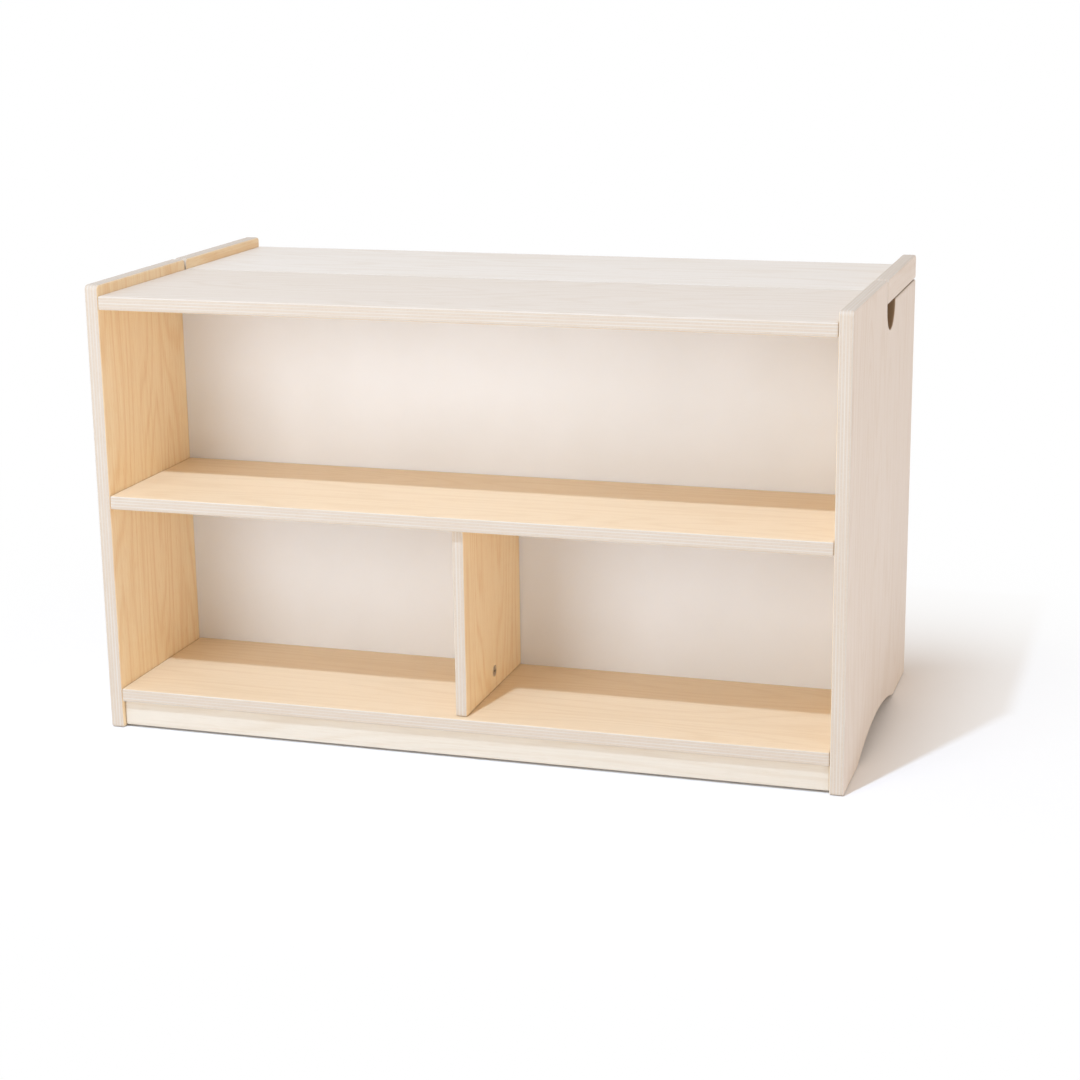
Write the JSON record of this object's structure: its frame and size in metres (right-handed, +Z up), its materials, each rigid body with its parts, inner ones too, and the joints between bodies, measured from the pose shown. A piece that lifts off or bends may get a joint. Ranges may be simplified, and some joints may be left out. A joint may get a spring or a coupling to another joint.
{
  "type": "toy shelf",
  "caption": "Low birch plywood toy shelf: open front shelves with a divider, a white panel behind them, and a storage well at the rear under a hinged lid with finger notches.",
  "frame": {"origin": "on the floor, at the centre of the footprint of the whole part, hinge knuckles included", "axes": "+X to the viewer's right along the width, +Y from the open shelves to the rear, +Z up"},
  "size_m": [0.9906, 0.5138, 0.5969],
  "materials": {
    "birch": "birch plywood with a clear satin lacquer",
    "white_panel": "thin board with a white satin face",
    "nickel": "nickel-plated steel",
    "zinc": "zinc-plated, satin",
    "brake_plastic": "moulded, matt black",
    "felt": "pressed felt"
  },
  "bodies": {
    "cabinet": {"left_side_panel": "birch", "right_side_panel": "birch", "top_panel": "birch", "middle_shelf": "birch", "bottom_panel": "birch", "shelf_divider": "birch", "front_kickboard": "birch", "back_panel": "birch", "center_panel": "white_panel", "bumper_left": "felt", "bumper_right": "felt", "hinge_left_back_leaf": "nickel", "hinge_left_pin": "nickel", "hinge_middle_back_leaf": "nickel", "hinge_middle_pin": "nickel", "hinge_right_back_leaf": "nickel", "hinge_right_pin": "nickel", "stay_base_left": "nickel", "stay_base_right": "nickel", "divider_cam": "zinc", "divider_bolt": "zinc", "top_panel_left_front_cam": "zinc", "top_panel_left_front_bolt": "zinc", "top_panel_left_rear_cam": "zinc", "top_panel_left_rear_bolt": "zinc", "top_panel_right_front_cam": "zinc", "top_panel_right_front_bolt": "zinc", "top_panel_right_rear_cam": "zinc", "top_panel_right_rear_bolt": "zinc", "middle_shelf_left_front_cam": "zinc", "middle_shelf_left_front_bolt": "zinc", "middle_shelf_left_rear_cam": "zinc", "middle_shelf_left_rear_bolt": "zinc", "middle_shelf_right_front_cam": "zinc", "middle_shelf_right_front_bolt": "zinc", "middle_shelf_right_rear_cam": "zinc", "middle_shelf_right_rear_bolt": "zinc", "bottom_panel_left_front_cam": "zinc", "bottom_panel_left_front_bolt": "zinc", "bottom_panel_left_rear_cam": "zinc", "bottom_panel_left_rear_bolt": "zinc", "bottom_panel_right_front_cam": "zinc", "bottom_panel_right_front_bolt": "zinc", "bottom_panel_right_rear_cam": "zinc", "bottom_panel_right_rear_bolt": "zinc"},
    "lid": {"lid_panel": "birch", "lid_end_left": "birch", "lid_end_right": "birch", "hinge_left_lid_leaf": "nickel", "hinge_middle_lid_leaf": "nickel", "hinge_right_lid_leaf": "nickel", "stay_bracket_left": "nickel", "stay_bracket_right": "nickel"},
    "stay_rod_left": {"stay_rod_left": "nickel"},
    "stay_rod_right": {"stay_rod_right": "nickel"},
    "stay_brake_left": {"stay_brake_left": "brake_plastic"},
    "stay_brake_right": {"stay_brake_right": "brake_plastic"}
  },
  "joints": [
    {"name": "lid_hinge", "type": "hinge", "parent": "cabinet", "child": "lid", "pos_m": [0, 0.25415, 0.564], "axis": [-1, 0, 0], "range_deg": [0, 85]},
    {"name": "rod_left_pivot", "type": "hinge", "parent": "lid", "child": "stay_rod_left", "pos_m": [-0.4617, 0.12465, 0.55267], "axis": [-1, 0, 0], "range_deg": [-42.5, 0]},
    {"name": "rod_right_pivot", "type": "hinge", "parent": "lid", "child": "stay_rod_right", "pos_m": [0.4617, 0.12465, 0.55267], "axis": [-1, 0, 0], "range_deg": [-42.5, 0]},
    {"name": "brake_left_pivot", "type": "hinge", "parent": "cabinet", "child": "stay_brake_left", "pos_m": [-0.4617, 0.14766, 0.48944], "axis": [-1, 0, 0], "range_deg": [0, 42.5]},
    {"name": "brake_right_pivot", "type": "hinge", "parent": "cabinet", "child": "stay_brake_right", "pos_m": [0.4617, 0.14766, 0.48944], "axis": [-1, 0, 0], "range_deg": [0, 42.5]}
  ],
  "couplings": [
    {"joint": "rod_left_pivot", "follows": "lid_hinge", "ratio": -0.5},
    {"joint": "rod_right_pivot", "follows": "lid_hinge", "ratio": -0.5},
    {"joint": "brake_left_pivot", "follows": "lid_hinge", "ratio": 0.5},
    {"joint": "brake_right_pivot", "follows": "lid_hinge", "ratio": 0.5}
  ]
}
